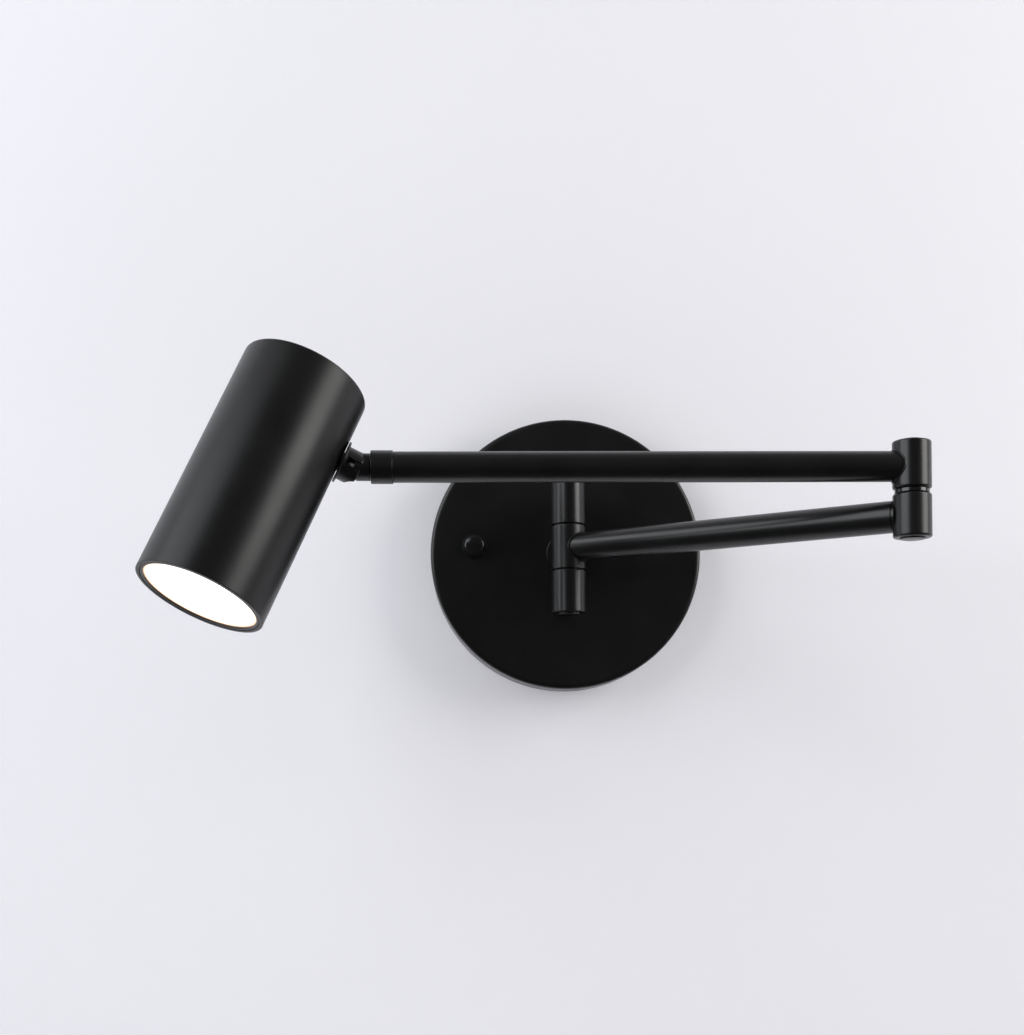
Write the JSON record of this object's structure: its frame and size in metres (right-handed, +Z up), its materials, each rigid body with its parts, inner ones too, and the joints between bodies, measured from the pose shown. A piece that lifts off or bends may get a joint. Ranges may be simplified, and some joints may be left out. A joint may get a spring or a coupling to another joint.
{
  "type": "wall-mounted swing-arm reading lamp",
  "caption": "Wall lamp with a round canopy and push switch, two arms on barrel hinges, and a tubular LED head that rolls, tilts and spins.",
  "frame": {"origin": "centre of the mounting strap's back face, on the wall plane, behind the canopy's centre", "axes": "+X to the right seen from the room, +Y into the wall, +Z up"},
  "size_m": [0.3138, 0.1768, 0.13],
  "materials": {
    "black_paint": "satin black powder coat",
    "head_paint": "satin black powder coat",
    "black_screws": "black oxide",
    "zinc_plate": "zinc plated",
    "pivot_steel": "turned",
    "spring_steel": "drawn wire",
    "brass_screw": "plain",
    "polished_ball": "polished",
    "switch_plastic": "moulded",
    "button_plastic": "gloss black",
    "washer_nylon": "moulded",
    "elbow_spacer": "semi-gloss black",
    "driver_casing": "moulded",
    "terminal_plastic": "moulded",
    "lead_sheath": "soft sheath",
    "reflector_white": "moulded white",
    "led_substrate": "white solder mask",
    "led_phosphor": "phosphor",
    "sink_aluminium": "machined",
    "lit_diffuser": "frosted, lit"
  },
  "bodies": {
    "wall_base": {"canopy": "black_paint", "mounting_strap": "zinc_plate", "side_screw_left": "black_screws", "side_screw_right": "black_screws", "ground_screw": "brass_screw", "hub_boss": "black_paint", "stud_washer": "zinc_plate", "stud_nut": "zinc_plate", "hub_yoke": "black_paint", "hub_barrel_top": "black_paint", "hub_barrel_bottom": "black_paint", "hub_pivot": "pivot_steel", "hub_washer_top": "washer_nylon", "hub_washer_bottom": "washer_nylon", "hub_plug_top": "black_paint", "hub_plug_bottom": "black_paint", "switch_body": "switch_plastic", "switch_bezel": "black_paint", "led_driver": "driver_casing", "terminal_block": "terminal_plastic", "canopy_lead": "lead_sheath", "driver_lead": "lead_sheath", "switch_lead": "lead_sheath"},
    "button": {"push_button": "button_plastic", "button_spring": "spring_steel"},
    "lower_arm": {"hub_knuckle": "black_paint", "lower_arm_tube": "black_paint", "elbow_barrel_lower": "black_paint", "elbow_pivot": "pivot_steel", "elbow_washer": "elbow_spacer", "elbow_plug_bottom": "black_paint", "lower_arm_lead": "lead_sheath"},
    "upper_arm": {"elbow_barrel_upper": "black_paint", "elbow_plug_top": "black_paint", "upper_arm_tube": "black_paint", "arm_collar": "black_paint", "upper_arm_lead": "lead_sheath"},
    "stem": {"head_stem": "black_paint", "joint_ball": "polished_ball", "stem_clip": "spring_steel"},
    "socket": {"joint_socket": "black_paint", "pivot_screw_front": "black_screws", "pivot_screw_rear": "black_screws", "socket_washer": "zinc_plate", "socket_nut": "zinc_plate"},
    "head": {"head_shell": "head_paint", "retaining_ring": "head_paint", "diffuser": "lit_diffuser", "reflector": "reflector_white", "led_board": "led_substrate", "led_emitter": "led_phosphor", "heat_sink": "sink_aluminium", "board_screw_1": "pivot_steel", "board_screw_2": "pivot_steel", "head_lead": "lead_sheath"}
  },
  "joints": [
    {"name": "button_press", "type": "slide", "parent": "wall_base", "child": "button", "axis": [0, 1, 0], "range_m": [0, 0.0018], "stiffness_N_per_m": 900, "springref_m": -0.0015},
    {"name": "shoulder_swing", "type": "hinge", "parent": "wall_base", "child": "lower_arm", "pos_m": [0, -0.039, 0], "axis": [0, 0, -1], "range_deg": [-33, 147]},
    {"name": "elbow_swing", "type": "hinge", "parent": "lower_arm", "child": "upper_arm", "pos_m": [0.13335, -0.1256, 0], "axis": [0, 0, 1], "range_deg": [-20, 210]},
    {"name": "stem_roll", "type": "hinge", "parent": "upper_arm", "child": "stem", "pos_m": [-0.09215, -0.1256, 0.0197], "axis": [-1, 0, 0], "range_deg": [-170, 170]},
    {"name": "head_tilt", "type": "hinge", "parent": "stem", "child": "socket", "pos_m": [-0.09215, -0.1256, 0.0197], "axis": [0, 0.9354, 0.3535], "range_deg": [-26.4, 10.6]},
    {"name": "head_spin", "type": "hinge", "parent": "socket", "child": "head", "pos_m": [-0.09215, -0.1256, 0.0197], "axis": [-0.8918, -0.1599, 0.4232], "range_deg": [-170, 170]}
  ]
}
